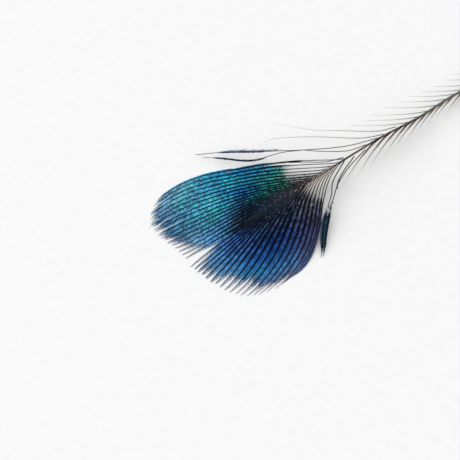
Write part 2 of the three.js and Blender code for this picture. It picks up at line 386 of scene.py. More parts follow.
FLUFF = 0.7  # how open the fluff is that closes the inner barbs' bare stalks
ROOT_FLUFF_FROM = (0.04, 0.14)  # places across the vane
ROOT_FLUFF_FADE = (0.17, 0.08)  # shares of a barb
STALK_HEIGHT = 0.17
TIP_SINK = 0.65  # of STALK_HEIGHT, lost over the last fifth of a barb
ROOT_BLEND = 0.12  # share of a barb over which it leaves the shaft's height for the vault's
EDGE_GAP = 0.75  # of the next gap, on the free side of a vane's outermost barb
TIP_WANDER = np.array([[0.02], [0.07]])  # of each line's second handle and of its tip
SEED = 7


def key_weights(share):
    """Lagrange's weights of the four drawn barbs, at 0, 1/3, 2/3 and 1, for places in share."""
    places = np.arange(4) / 3
    gaps = share[:, None, None] - places
    steps = places[:, None] - places
    terms = np.where(np.eye(4, dtype=bool), 1.0, gaps / np.where(steps == 0, 1, steps))
    return terms.prod(-1)


def barb_lines(vane, shares):
    """Cubic Bézier curves in plan, blended from the vane's keys, for each barb and share. Their tips
    wander a little, so that some draw together and others part."""
    inward = np.linspace(0, 1, vane["barbs"])
    drawn = np.array(vane["keys"], float) * np.array([-1, vane["side"]])
    controls = np.einsum("bk,khc->bhc", key_weights(inward), drawn)
    wander = np.random.default_rng(SEED + vane["side"])
    controls[:, 2:] += wander.normal(0, vane["wander"], controls[:, 2:].shape) * TIP_WANDER
    controls[:, 0, 1] = along(SHAFT_SWAY, controls[:, 0, 0])
    s = shares[:, None]
    bernstein = np.concatenate([(1 - s) ** 3, 3 * s * (1 - s) ** 2, 3 * s**2 * (1 - s), s**3], 1)
    return inward, np.einsum("sh,bhc->bsc", bernstein, controls)


def half_gaps(lines):
    """Half the distance across from each barb to the next one out and to the next one in."""
    forward = unit(np.gradient(lines, axis=1))
    across = np.stack([-forward[..., 1], forward[..., 0]], -1)
    steps = np.diff(lines, axis=0)
    gaps = np.abs((steps * across[:-1]).sum(-1)) / 2
    outward = np.concatenate([gaps[:1] * EDGE_GAP, gaps])
    inward = np.concatenate([gaps, gaps[-1:]])
    return outward, inward


def stalk_paths(vane, shares):
    """The barbs' stalks in space: over their plan, STALK_HEIGHT above the vault, lower at the tip."""
    inward, lines = barb_lines(vane, shares)
    x, y = lines[..., 0], lines[..., 1]
    height = vault_height(x, y) + STALK_HEIGHT * (1 - TIP_SINK * ease(0.8, 1, shares))
    start = along(SHAFT_RADII, x[:, :1]) + arch_height(x[:, :1])
    height = height + (start - height[:, :1]) * (1 - ease(0, ROOT_BLEND, shares))
    return inward, lines, np.stack([x, y, height], -1)


def bare_share(vane, inward):
    """The bare share of each barb: longest on the outermost, none at BARE_ENDS_AT, and below none
    further in, where the web is open from the root."""
    longest, power = vane["bare"]
    return longest * (1 - (inward / BARE_ENDS_AT) ** power)


def web_opening(vane, inward, shares):
    """How far the web has opened after the bare stalk, which is longest on the outermost barbs. On
    the inner barbs, and at most roots of the right vane, a thin fluff grows on the bare part."""
    bare = bare_share(vane, inward) + EDGE_DELAY * (inward == 0)
    fluff = FLUFF * ease(*vane["fluff_from"], inward)
    at_root = FLUFF * vane["root_fluff"] * ease(*ROOT_FLUFF_FROM, inward)
    fluffy = np.maximum(fluff[:, None], at_root[:, None] * ease(*ROOT_FLUFF_FADE, shares))
    return np.maximum(ease(0, WEB_OPENING, shares - bare[:, None]), fluffy)


for vane in (RIGHT_VANE, LEFT_VANE):
    _, lines = barb_lines(vane, np.linspace(0, 1, 60))
    lengths = np.linalg.norm(np.diff(lines, axis=1), axis=2).sum(1)
    print("barbs", vane["barbs"], "from", round(lengths.min(), 1), "to", round(lengths.max(), 1), "mm")

# %% [markdown]
# ## Shaft and barb stalks
#
# The shaft is horn of a dark olive grey, and it thins into the fan, where a fine brown ridge shows
# between the vanes. It is paler at the quill, as all feathers are. The stalks of the barbs are the
# same horn: brown where they are bare, and blue-black between the coloured webs. They lie proud of
# the webs and draw the fine dark lines that make the fan look ribbed.


# %% Horn materials
SHAFT_STOPS = [
    (0.0, (176, 160, 138)), (0.06, (150, 134, 112)), (0.16, (116, 112, 98)), (0.3, (108, 106, 96)),
    (0.6, (92, 89, 80)), (0.73, (58, 51, 46)), (0.8, (54, 48, 48)), (0.86, (44, 41, 47)),
    (0.9, (36, 38, 48)), (1.0, (20, 25, 38)),
]


def paint_shaft(wire):
    place = wire.value("along")
    grain = wire.grain(place * 900, wire.value("around") * 6, detail=3.0)
    horn = place.ramp(*SHAFT_STOPS)
    streaked = (grain * 0.5).mix(horn, srgb(18, 16, 15))
    bump = wire.node("ShaderNodeBump", inputs={"Height": grain, "Strength": 0.35, "Distance": 0.00003})
    return {"Base_Color": streaked, "Roughness": grain.eased(0.3, 0.7, 0.34, 0.55), "Normal": bump}


def paint_stalk(wire, horn_colours, ink_colours, ink_far, tip_colour):
    """Horn where the stalk is bare, ink where it carries web, duller where the inner barbs leave the
    shaft, bluer further out and grey at the tip. Horn and ink are each grained in two colours."""
    place = wire.value("along")
    inward = wire.value("inward")
    grain = wire.grain(place * 60, inward * 90, detail=3.0)
    horn = grain.ramp(*zip((0.35, 0.7), horn_colours))
    near = grain.ramp(*zip((0.4, 0.75), ink_colours))
    muted = inward.eased(0.4, 0.6) * place.eased(0.3, 0.1)
    near = muted.mix(near, grain.ramp((0.4, (12, 22, 32)), (0.62, (38, 54, 68))))
    ink = place.eased(0.45, 0.9).mix(near, srgb(*ink_far))
    colour = place.eased(0.84, 0.98).mix(wire.value("open").mix(horn, ink), srgb(*tip_colour))
    return {"Base_Color": colour, "Roughness": grain.eased(0.3, 0.7, 0.4, 0.62)}


shaft_horn = new_material("shaft_horn", paint_shaft, Specular_IOR_Level=0.2)
# Two colours of horn, two of ink, ink far out, and the tip.
RIGHT_STALK = [(60, 54, 50), (126, 120, 114)], [(2, 14, 22), (14, 28, 38)], (10, 28, 62), (62, 70, 96)
LEFT_STALK = [(24, 20, 19), (60, 50, 46)], [(5, 10, 20), (44, 38, 54)], (22, 24, 66), (66, 70, 94)
right_horn = new_material("right_stalk_horn", paint_stalk, *RIGHT_STALK)
left_horn = new_material("left_stalk_horn", paint_stalk, *LEFT_STALK)

# %% Shaft
SHAFT_SIDES = 20
SHAFT_STATIONS = 260
shaft_x = np.linspace(QUILL_END_X, SHAFT_TIP_X, SHAFT_STATIONS)
shaft_shape = spikes(
    shaft_centre(shaft_x)[None],
    along(SHAFT_RADII, shaft_x),
    round_ring(SHAFT_SIDES),
    along=np.linspace(0, 1, SHAFT_STATIONS),
)
around = np.tile(np.arange(SHAFT_SIDES) / SHAFT_SIDES, SHAFT_STATIONS - 1)
shaft_shape["values"]["around"] = np.append(around, 0.0)  # the tip's own vertex comes last
new_piece("shaft", shaft_shape, shaft_horn)

# %% Stalks of the fan's barbs
STALK_STATIONS = 70
STALK_SIDES = 8
STALK_DEPTH = 1.3
WEBBED_RADII = [(0, 0.06), (0.4, 0.066), (0.7, 0.042), (0.92, 0.03), (1, 0.012)]
CLINGING_RADIUS = 0.02  # added to the outermost stalk, where its barbules cling to it
CLINGING_RISE, CLINGING_FADE = (0.31, 0.34), (0.62, 0.45)  # shares of the outermost barb
CROWDED_RADIUS = 0.02  # of stalks that touch
CROWDED_SHARE = 0.42  # of the way to the next stalk that a stalk may fill besides


def stalks(vane):
    """Oval spikes, deeper than they are wide, on the vane's stalk paths. They are thinner where they
    are bare and where they crowd."""
    shares = np.linspace(0, 1, STALK_STATIONS)
    inward, lines, paths = stalk_paths(vane, shares)
    clinging = ease(*CLINGING_RISE, shares) * ease(*CLINGING_FADE, shares) * (inward == 0)[:, None]
    opened = np.maximum(web_opening(vane, inward, shares), clinging)
    radii = vane["bare_radius"] + (along(WEBBED_RADII, shares) - vane["bare_radius"]) * opened
    radii = radii + CLINGING_RADIUS * clinging
    radii = np.minimum(radii, CROWDED_RADIUS + CROWDED_SHARE * np.minimum(*half_gaps(lines)))
    ring = round_ring(STALK_SIDES, STALK_DEPTH)
    return spikes(paths, radii, ring, along=shares, inward=inward[:, None], open=opened)


new_piece("right_vane_stalks", stalks(RIGHT_VANE), right_horn)
new_piece("left_vane_stalks", stalks(LEFT_VANE), left_horn)

# %% [markdown]
# On the left side of the feather the barbs are turned a little, so their pale keels show beside the
# dark ridges as long as no web hides them. The same function makes them for the fan here and for the
# downy barbs later on.

# %% Keels of the left barbs
KEEL_OFFSET = 0.11
KEEL_LIFT = 0.03
KEEL_RADIUS = 0.048
KEEL_TAPER = 0.7  # share of a keel over which it thins out
KEEL_STATIONS = 30
KEELS_END_AT = 0.42  # place across the vane


def paint_keel(wire, dark, pale):
    """Pale horn with a fine grain."""
    grain = wire.grain(wire.value("along") * 30, wire.value("inward") * 70, detail=3.0)
    colour = grain.ramp((0.35, dark), (0.7, pale))
    return {"Base_Color": colour, "Roughness": grain.eased(0.3, 0.7, 0.4, 0.6)}


def keels(paths, shares, inward, size=1.0, hand=-1):
    """Spikes beside the paths, on the side that hand says, that thin out towards their ends."""
    _, across, up = directions(paths)
    paths = paths + size * (hand * KEEL_OFFSET * across + KEEL_LIFT * up)
    radii = size * KEEL_RADIUS * ease(0, KEEL_TAPER, 1 - shares)
    return spikes(paths, radii, along=shares, inward=inward[:, None])


keel_shares = np.linspace(0, 1, KEEL_STATIONS)
inward, _, _ = stalk_paths(LEFT_VANE, keel_shares)
bare_barbs = inward < KEELS_END_AT
bare_paths = []
for barb in np.flatnonzero(bare_barbs):
    bare = bare_share(LEFT_VANE, inward[barb]) + WEB_OPENING
    bare_paths.append(stalk_paths(LEFT_VANE, keel_shares * bare)[2][barb])
keel_horn = new_material("keel_horn", paint_keel, (206, 188, 178), (240, 230, 222))
new_piece("left_vane_keels", keels(np.stack(bare_paths), keel_shares, inward[bare_barbs]), keel_horn)

# %% [markdown]
# ## Barbules, the coloured web
#
# The colour of a peacock's feather is in its barbules: flat slivers a few hundredths of a millimetre
# wide, set close together along both sides of every stalk like the teeth of a comb. They lean
# towards the tip, lie on each other like shingles, and meet the barbules of the next barb. A painted
# sheet could carry the colour, but not the fine broken glitter, which comes from thousands of
# slivers that each catch the light at a slightly different tilt. So every one of them is made, and
# their colour adds painted sparkle and glints besides.
#
# The web opens a little way out from the shaft, further out on the outer barbs, and closes before
# the barb's tip, so the tips stand free with gaps between them.

# %% Barbules of the fan
BARBULE_STATIONS = 300
LAST_STATION = 0.995  # share of a barb
BARBULE_WIDTH = 0.034
BARBULE_PLACES = np.array([0, 0.5, 0.9, 1])  # of a barbule's four stations along it
BARBULE_TAPER = np.array([1, 1, 0.8, 0])
SHOULDER = 0.8  # where its third station lies between the second and the tip
STRAIGHT, BENT = 0.5, 0.55  # of its length, before and after it bends
BEND = 12
WEB_OVERLAP = 1.35
FREE_TIP_POWER = 1.3
REACH_POWER = 0.55
THINNEST_BARBULE = 0.07
SHORTEST_BARBULE = 0.035
CLOSED_WEB = 0.02  # a web less open than this is only stubs, which sink less
STUB_SINK = 0.3
SINK_SCATTER = (0.6, 0.95)  # of the stalk's height over the vault
BEND_SINK = 0.35
TABLE_CLEARANCE = 0.02
ROOT_ANGLE, TIP_ANGLE = 44, 20
ANGLE_SCATTER = 3
ROLL = 14
ROLL_SCATTER = 15
FREE_TIP_SCATTER = (0.75, 1.3)
rng = np.random.default_rng(SEED)


def web_share(vane, inward, shares):
    """How open the web is: it opens after the bare stalk, and narrows evenly along the free tip."""
    shortest, growth, power = vane["free_tip"]
    free = (shortest + growth * inward**power) * rng.uniform(*FREE_TIP_SCATTER, len(inward))
    closing = np.minimum(1, (1 - shares) / free[:, None]) ** FREE_TIP_POWER
    return web_opening(vane, inward, shares) * closing


def gathered(names, marks):
    """A column of numbers for each name. marks holds, for each set of spikes, an array per name."""
    return dict(zip(names, np.swapaxes(marks, 0, 1).reshape(len(names), -1, 1)))


def barbules(vane):
    """Slivers on both sides of each stalk. Each starts at the stalk, leans forward by an angle that
    shrinks towards the barb's tip, bends a little further forward, and sinks to the vault."""
    shares = (np.arange(BARBULE_STATIONS) + 0.5) / BARBULE_STATIONS * LAST_STATION
    inward, lines, roots = stalk_paths(vane, shares)
    forward, across, _ = directions(roots)
    gaps = half_gaps(lines)
    share = web_share(vane, inward, shares)
    slivers, marks = [], []
    for hand in (1, -1):
        gap = gaps[0] if hand == vane["side"] else gaps[1]
        reach = SHORTEST_BARBULE + (gap * WEB_OVERLAP - SHORTEST_BARBULE) * share**REACH_POWER
        angle = ROOT_ANGLE + (TIP_ANGLE - ROOT_ANGLE) * ease(0.5, 1, shares)
        angle = np.radians(angle + rng.normal(0, ANGLE_SCATTER, reach.shape))[..., None]
        length = reach[..., None] / np.sin(angle)
        out = hand * across
        lean = np.cos(angle) * forward + np.sin(angle) * out
        later = angle - np.radians(BEND)
        bent = np.cos(later) * forward + np.sin(later) * out
        middle = roots + lean * length * STRAIGHT
        tip = middle + bent * length * BENT
        drop = roots[..., 2] - vault_height(roots[..., 0], roots[..., 1])
        sink = np.where(share > CLOSED_WEB, 1.0, STUB_SINK) * drop
        sink = sink * rng.uniform(*SINK_SCATTER, drop.shape)
        middle[..., 2] -= sink * BEND_SINK
        tip[..., 2] -= sink
        shoulder = middle * (1 - SHOULDER) + tip * SHOULDER
        slivers.append(np.stack([roots, middle, shoulder, tip], -2))
        spark, outer = rng.uniform(0, 1, reach.shape), float(hand == vane["side"])
        marks.append(np.broadcast_arrays(shares, inward[:, None], spark, outer, share))
    paths = np.concatenate(slivers).reshape(-1, 4, 3)
    paths[..., 2] = np.maximum(paths[..., 2], TABLE_CLEARANCE)
    numbers = gathered(("along", "inward", "spark", "outer", "open"), marks)
    hands = np.repeat([1, -1], len(paths) // 2)
    roll = np.radians(hands * ROLL + rng.normal(0, ROLL_SCATTER, len(paths)))
    thin = THINNEST_BARBULE + (1 - THINNEST_BARBULE) * ease(0.1, 0.9, numbers["open"]) ** 2
    radii = BARBULE_WIDTH * thin * BARBULE_TAPER
    rows = 2 * vane["barbs"]
    return spikes(paths, radii, ROOF_RING, roll, rows, across=BARBULE_PLACES, **numbers)


right_barbules = barbules(RIGHT_VANE)
left_barbules = barbules(LEFT_VANE)

# %% [markdown]
# ## The colour of the web
#
# The green, blue and violet are not dyes: stacks of dark rods inside the barbules reflect one colour
# each, over black. That makes the web behave like a coloured metal, so it is a metallic material
# whose colour changes along the barb. The right vane runs from green near the shaft through blue to
# a bright cyan. The left vane runs from slate through deep blue, with violet on its outer barbs. Near
# the shaft's end both are almost black.


# %% Web materials
def paint_web(wire, outer_stops, middle_stops, inner_stops, look):
    """Three ramps of colour along the barb, for the outer, middle and inner barbs, blended across the
    vane. Over them lie deeper patches, painted sparkle in beads along each barb, painted glints and a
    violet rim. Then the colour is dimmed by painted shade, in a stripe on the side of each stalk that
    faces away from the light and in a shallow fold, and by each barbule's own level, a random tone that
    also paints some sparkle. The back is a dull dark brown."""
    names = ("along", "inward", "spark", "across", "outer")
    place, inward, spark, across, outer = (wire.value(name) for name in names)
    streak = wire.grain(place * 9, inward * 60, across * 0.4)
    row = inward * 150 + outer * 5
    fleck = wire.grain(place * look["pitch"] + across * 1.3, row, across * 0.6, 1.0)
    # painted sparkle: bright beads along each barb
    bead_sparkle = fleck.eased(0.42, 0.6)

    shifted = place + (streak - 0.5) * 0.12
    outside = inward.eased(0.1, 0.45).mix(shifted.ramp(*outer_stops), shifted.ramp(*middle_stops))
    colour = inward.eased(0.45, 0.88).mix(outside, shifted.ramp(*inner_stops))
    patch = streak.eased(0.5, 0.4) * place.eased(0.38, 0.46) * place.eased(0.7, 0.56)
    patch = patch * inward.eased(0.62, 0.4) * look["patches"]
    colour = patch.mix(colour, srgb(*look["patch"]))
    # painted glints: green beads near the shaft
    near_shaft_glint = (place + inward * 0.42).eased(0.36, 0.44) * place.eased(0.54, 0.42)
    near_shaft_glint = bead_sparkle * near_shaft_glint * inward.eased(0.72, 0.5) * 0.42
    colour = near_shaft_glint.mix(colour, srgb(*look["near_shaft_glint"]))
    glint = streak.eased(0.47, 0.6) * bead_sparkle * inward.eased(0.85, 0.65) * look["glints"]
    glint = glint * place.eased(*look["glint_from"]) * place.eased(0.95, 0.8)
    colour = glint.mix(colour, srgb(*look["glint"]))
    rim = across.eased(0.7, 1.0) * place.eased(0.6, 0.8) * 0.3
    colour = rim.mix(colour, srgb(150, 140, 176))

    # painted shade: a dark stripe beside each stalk, wider on the side that faces away from the light
    shaded = outer if look["outside_shaded"] else 1.0 - outer
    muted = inward.eased(0.4, 0.6) * place.eased(0.3, 0.1)
    shade_depth = place.eased(0.5, 0.95, 0.96, 0.8) * (1.0 - muted * 0.85)
    shade_edge = across - shaded * place.eased(0.4, 0.8, *look["shade_stripe"]) - 0.05
    shade_stripe = 1.0 - shade_depth * shade_edge.eased(0.18, 0.0)
    # painted shade of a shallow fold between two groups of inner barbs
    fold_shade = inward.eased(0.5, 0.64) * inward.eased(0.86, 0.72) * place.eased(0.58, 0.68)
    # each barbule's own random level, which also paints some sparkle
    plain = 0.82 + spark * 0.4
    sparkling = 0.52 + bead_sparkle * (0.72 + spark * 0.6)
    tone_and_sparkle = plain + (sparkling - plain) * place.eased(0.45, 0.75, 1.0, look["far"])
    level = shade_stripe * (1.0 - fold_shade * look["fold_shade"]) * tone_and_sparkle
    inputs = {0: colour, 1: wire.joined(level, level, level)}
    lit = wire.node("ShaderNodeVectorMath", {"operation": "MULTIPLY"}, inputs)

    # painted glints: rare pale specks near the barbs' roots
    speck_glints = place.eased(0.6, 0.3) * spark.math("GREATER_THAN", spark, 0.96) * fleck.eased(0.4, 0.6) * 0.8
    colour = wire.facing_down().mix(speck_glints.mix(lit, srgb(150, 164, 180)), srgb(34, 29, 28))
    return {"Base_Color": colour, "Roughness": streak.eased(0.3, 0.7, 0.3, 0.46)}


# %% [markdown]
# The ramps run from the root to the tip. Each vane also has a look: the colours and amounts of its
# painted glints near the shaft, patches and painted glints, how finely its painted sparkle is set and
# how much it shows far out, the painted shade stripe's widths near the shaft and far out, the depth
# of the painted shade of a fold, and which side of a stalk is in painted shade.

# %% Colours of the two vanes
RIGHT_OUTER = [
    (0.3, (84, 82, 76)), (0.37, (36, 138, 122)), (0.47, (34, 160, 172)), (0.58, (30, 150, 194)),
    (0.7, (50, 162, 206)), (0.82, (104, 190, 216)), (0.92, (122, 174, 206)), (1.0, (84, 100, 144)),
]
RIGHT_MIDDLE = [
    (0.2, (64, 60, 56)), (0.27, (36, 76, 72)), (0.34, (20, 84, 100)), (0.42, (14, 62, 100)),
    (0.52, (18, 78, 128)), (0.6, (56, 148, 188)), (0.69, (84, 188, 212)), (0.8, (82, 164, 208)),
    (0.92, (76, 132, 176)), (1.0, (72, 88, 132)),
]
RIGHT_INNER = [
    (0.05, (34, 50, 68)), (0.2, (32, 50, 68)), (0.32, (24, 34, 48)), (0.43, (30, 46, 64)),
    (0.5, (58, 98, 130)), (0.6, (74, 134, 178)), (0.7, (90, 154, 206)), (0.8, (120, 174, 212)),
    (1.0, (96, 108, 146)),
]
LEFT_OUTER = [
    (0.33, (150, 148, 146)), (0.43, (104, 102, 112)), (0.51, (76, 74, 92)), (0.6, (66, 68, 96)),
    (0.7, (70, 78, 112)), (0.8, (78, 100, 146)), (1.0, (112, 120, 152)),
]
LEFT_MIDDLE = [
    (0.08, (84, 78, 76)), (0.2, (58, 62, 70)), (0.3, (34, 54, 72)), (0.42, (28, 52, 80)),
    (0.54, (26, 58, 108)), (0.64, (30, 78, 140)), (0.72, (36, 98, 164)), (0.82, (52, 130, 182)),
    (1.0, (98, 112, 146)),
]
LEFT_INNER = [
    (0.05, (30, 54, 74)), (0.2, (26, 50, 70)), (0.32, (24, 46, 72)), (0.4, (28, 58, 106)),
    (0.47, (40, 88, 156)), (0.56, (64, 110, 178)), (0.68, (74, 138, 194)), (0.8, (110, 160, 198)),
    (1.0, (98, 110, 146)),
]
GREEN_WEB = {
    "near_shaft_glint": (50, 180, 150), "patch": (12, 84, 178), "patches": 0.6,
    "glint": (44, 210, 192), "glint_from": (0.54, 0.62), "glints": 0.5,
    "pitch": 78, "far": 0.8, "shade_stripe": (0.46, 0.2), "fold_shade": 0.3, "outside_shaded": False,
}
BLUE_WEB = {
    "near_shaft_glint": (60, 70, 110), "patch": (24, 44, 124), "patches": 0.3,
    "glint": (46, 150, 200), "glint_from": (0.66, 0.8), "glints": 0.4,
    "pitch": 34, "far": 0.4, "shade_stripe": (0.56, 0.28), "fold_shade": 0.0, "outside_shaded": True,
}
WEB_GLOSS = {"Metallic": 1.0, "Specular_Tint": (0.15, 0.35, 0.5, 1.0)}
RIGHT_RAMPS = RIGHT_OUTER, RIGHT_MIDDLE, RIGHT_INNER
LEFT_RAMPS = LEFT_OUTER, LEFT_MIDDLE, LEFT_INNER
right_web = new_material("right_vane_web", paint_web, *RIGHT_RAMPS, GREEN_WEB, **WEB_GLOSS)
left_web = new_material("left_vane_web", paint_web, *LEFT_RAMPS, BLUE_WEB, **WEB_GLOSS)
new_piece("right_vane_barbules", right_barbules, right_web, smooth=False)
new_piece("left_vane_barbules", left_barbules, left_web, smooth=False)

# %% [markdown]
# ## Loose barbs
#
# Handling has pulled some barbs out of the fan: two on its right, two clumped ones on its left, and
# a few long hairs. Each path is a short list of given places, because no rule says where a
# stray barb ends up. Their barbules have lost their neighbours, so they cling together along the
# stalk and make a narrow brush, curled where it begins: slate with a lilac edge on the first barb,
# and dark teal on the others.

# %% Loose stalks
CLUMPED = {"brush": (0.57, 0.92), "reach": 0.25, "teal": 1.0, "stalk": (0.07, 0.035, 1.0)}
LOOSE_BARBS = [
    {
        "path": [
            (9.3, -0.1, 2.4), (5.5, 1.5, 2.2), (1.4, 4.4, 1.9),
            (-2.2, 7.7, 1.4), (-5, 10.3, 1), (-8.3, 13.1, 0.3),
        ],
        "brush": (0.53, 0.83), "reach": 0.22, "teal": 0.0, "stalk": (0.058, 0.04, 0.3),
    },
    {
        "path": [
            (1.4, 4.4, 1.9), (-0.8, 5.95, 1.6), (-3.1, 7.0, 1.2),
            (-4.6, 8.15, 1), (-6.3, 10.3, 0.7), (-7.8, 12.2, 0.3),
        ],
        "brush": (0.33, 0.8), "reach": 0.08, "teal": 0.85, "stalk": (0.05, 0.03, 0.4),
    },
    {
        "path": [
            (4, -0.2, 2.3), (1, -1.6, 1.95), (-0.5, -3, 1.7),
            (-2.2, -4.2, 1.4), (-4.1, -5.7, 0.9), (-6.75, -8.6, 0.1),
        ],
        **CLUMPED,
    },
    {
        "path": [
            (5.2, -0.5, 2.35), (2.2, -1.6, 2.05), (0.5, -2.7, 1.8),
            (-1.7, -4.3, 1.4), (-3.8, -5.95, 0.9), (-6.45, -8.55, 0.1),
        ],
        **CLUMPED,
    },
]
JOINING_STALKS = [
    [(7.6, 0, 2.35), (5.2, 0.8, 2.2), (2.8, 2.9, 2), (1.4, 4.4, 1.9)],
    [(4.1, 0.2, 2.3), (2.2, 1.2, 2), (0.4, 2.9, 1.75), (-1, 4.2, 1.5)],
    [(6.9, -0.5, 2.35), (3.6, -1.3, 2.1), (1.3, -2.2, 1.9), (0.6, -2.8, 1.8)],
]
JOINING_SIZES = [(0.055, 0.045, 0.3), (0.055, 0.045, 0.5), (0.06, 0.06, 0.9)]
LOOSE_STATIONS = 60


def loose_stalks(routes, sizes):
    """Round spikes along curves through the routes, thinning evenly. sizes holds the radius at the
    root, the radius at the tip and the darkness of each."""
    shares = np.linspace(0, 1, LOOSE_STATIONS)
    paths = np.stack([curve_through(route, LOOSE_STATIONS) for route in routes])
    root_radii, tip_radii, dark = np.array(sizes).T[..., None]
    radii = root_radii + (tip_radii - root_radii) * shares
    return spikes(paths, radii, along=shares, inward=0.0, open=dark)


LOOSE_STALK = [(80, 76, 71), (130, 126, 120)], [(18, 18, 22), (44, 43, 48)], (24, 30, 46), (72, 76, 92)
loose_horn = new_material("loose_stalk_horn", paint_stalk, *LOOSE_STALK)
loose_paths, loose_sizes = ([barb[key] for barb in LOOSE_BARBS] for key in ("path", "stalk"))
new_piece("loose_stalks", loose_stalks(loose_paths, loose_sizes), loose_horn)
new_piece("joining_stalks", loose_stalks(JOINING_STALKS, JOINING_SIZES), loose_horn)

# %% Brushes of clinging barbules
ROUTE_STATIONS = 600
BRUSH_SLIVERS = 240
BRUSH_LENGTH = 1.3
BRUSH_WIDTH = 0.03
BRUSH_SWELL = [(0, 0.3), (0.3, 0.9), (0.5, 1.0), (0.85, 0.85), (1, 0.3)]
REACH_SCATTER, LENGTH_SCATTER = (0.2, 1.05), (0.5, 1.0)
RISE_SCATTER = (-0.12, 0.1)
KNEE_AT, TIP_REACH = 0.45, 0.7  # where a sliver is furthest out, and how far out its tip still is
BRUSH_ROLL_SCATTER = 0.4  # in radians
SHADE_SCATTER = 0.45
SHADES = {1: 0.05, -1: 0.6}  # of the slivers on the left and on the right


def brush_places(barb, shares):
    """Places, forward and across, at shares of the brush of a loose barb."""
    route = curve_through(barb["path"], ROUTE_STATIONS)
    first, last = barb["brush"]
    at = ((first + (last - first) * shares) * (ROUTE_STATIONS - 1)).astype(int)
    forward, across, _ = directions(route)
    return route[at], forward[at], across[at]


def brushes():
    """Slivers from both sides of each loose stalk. Their reach swells and fades along the brush,
    they run forward nearly with the stalk, and each one's length and height is scattered. The left
    side of a brush is darker than the right."""
    share = np.linspace(0, 1, BRUSH_SLIVERS)
    slivers, marks = [], []
    for barb in LOOSE_BARBS:
        root, forward, across = brush_places(barb, share)
        for hand in (1, -1):
            reach = barb["reach"] * along(BRUSH_SWELL, share)
            reach = reach * rng.uniform(*REACH_SCATTER, BRUSH_SLIVERS)
            length = BRUSH_LENGTH * rng.uniform(*LENGTH_SCATTER, BRUSH_SLIVERS)
            out = hand * across * reach[:, None]
            ahead = forward * length[:, None]
            rise = np.zeros((BRUSH_SLIVERS, 3))
            rise[:, 2] = rng.uniform(*RISE_SCATTER, BRUSH_SLIVERS)
            knee = root + ahead * KNEE_AT + out + rise
            tip = root + ahead + out * TIP_REACH + rise
            slivers.append(np.stack([root, knee, tip], 1))
            spark = rng.uniform(0, SHADE_SCATTER, BRUSH_SLIVERS) + SHADES[hand]
            marks.append(np.broadcast_arrays(share, spark, barb["teal"]))
    paths = np.concatenate(slivers)
    paths[..., 2] = np.maximum(paths[..., 2], BRUSH_WIDTH)
    radii = BRUSH_WIDTH * np.array([1, 1, 0])
    roll = rng.normal(0, BRUSH_ROLL_SCATTER, len(paths))
    numbers = gathered(("along", "spark", "teal"), marks)
    return spikes(paths, radii, ROOF_RING, roll, 2 * len(LOOSE_BARBS), **numbers)


CURLS = 12
CURL_STATIONS = 14
CURL_SIDES = 4
CURL_RADIUS = 0.12
CURLS_FROM = (-0.12, 0.22)  # shares of the brush
CURL_TURN = 3 * np.pi
CURL_RUN = 0.7
CURL_DRIFT = 1.3  # sideways, in radii
CURL_FLATNESS = 0.6
CURL_LIFT = 0.06
CURL_THICKNESS, CURL_TAPER = 0.04, 0.6


def curls():
    """Curled barbules where each brush begins: a point runs forward while it swings in and out, and
    up and down, by a sine and a cosine of one turn and a half. Narrower brushes have tighter curls."""
    s = np.linspace(0, 1, CURL_STATIONS)
    paths = []
    for barb in LOOSE_BARBS:
        root, forward, across = brush_places(barb, rng.uniform(*CURLS_FROM, CURLS))
        phase = rng.uniform(0, 2 * np.pi, (CURLS, 1))
        size = CURL_RADIUS * barb["reach"] / CLUMPED["reach"]
        swing = rng.choice([-1, 1], (CURLS, 1)) * size
        turn = CURL_TURN * s + phase
        side = swing * (CURL_DRIFT * s + np.sin(turn) - np.sin(phase))
        path = root[:, None] + forward[:, None] * (CURL_RUN * s)[:, None]
        path = path + across[:, None] * side[..., None]
        path[..., 2] += CURL_RADIUS * CURL_FLATNESS * (np.cos(turn) - np.cos(phase)) + CURL_LIFT
        paths.append(path)
    paths = np.concatenate(paths)
    radii = CURL_THICKNESS * (1 - CURL_TAPER * s)
    marks = {"along": s, "spark": rng.uniform(0, 1, (len(paths), 1)), "teal": 0.0}
    return spikes(paths, radii, round_ring(CURL_SIDES), rows=len(LOOSE_BARBS), **marks)


def paint_brush(wire, lilac, teal):
    """Each sliver has a shade of its own between the dark, middle and light of its barb's hue, and
    a noise along the brush darkens some of the slivers."""
    spark = wire.value("spark")
    fleck = wire.grain(wire.value("along") * 40, spark * 3)
    shade = spark - fleck.eased(0.6, 0.35, 0.0, 0.35)
    first, second = (shade.ramp(*zip((0.1, 0.5, 0.9), hue)) for hue in (lilac, teal))
    colour = wire.value("teal").mix(first, second)
    return {"Base_Color": colour, "Roughness": fleck.eased(0.3, 0.7, 0.4, 0.6)}


LILAC = [(50, 58, 80), (150, 160, 186), (226, 230, 242)]
DARK_TEAL = [(8, 16, 28), (24, 42, 62), (56, 90, 112)]
PALE_CURLS = [(96, 96, 106), (180, 182, 192), (244, 245, 248)]
brush_web = new_material("brush_web", paint_brush, LILAC, DARK_TEAL)
curl_web = new_material("curl_web", paint_brush, PALE_CURLS, PALE_CURLS)
new_piece("loose_brushes", brushes(), brush_web, smooth=False)
new_piece("loose_curls", curls(), curl_web)

# %% [markdown]
# ## Long hairs
#
# Two barbs have lost all their barbules and are only hairs now. They sweep out over the fan from the
# right side of the shaft, like the downy barbs further down but three times as long.


# %% Hairs
def paint_down(wire, root, near, far, tip):
    """Dark where the hair leaves the shaft, and paler grey the thinner it gets."""
    place = wire.value("along")
    fleck = wire.grain(place * 20, wire.value("inward") * 50)
    colour = place.ramp((0.0, root), (0.25, near), (0.55, far), (1.0, tip))
    flecked = (fleck * 0.3).mix(colour, srgb(*near))
    return {"Base_Color": flecked, "Roughness": fleck.eased(0.3, 0.7, 0.5, 0.7)}


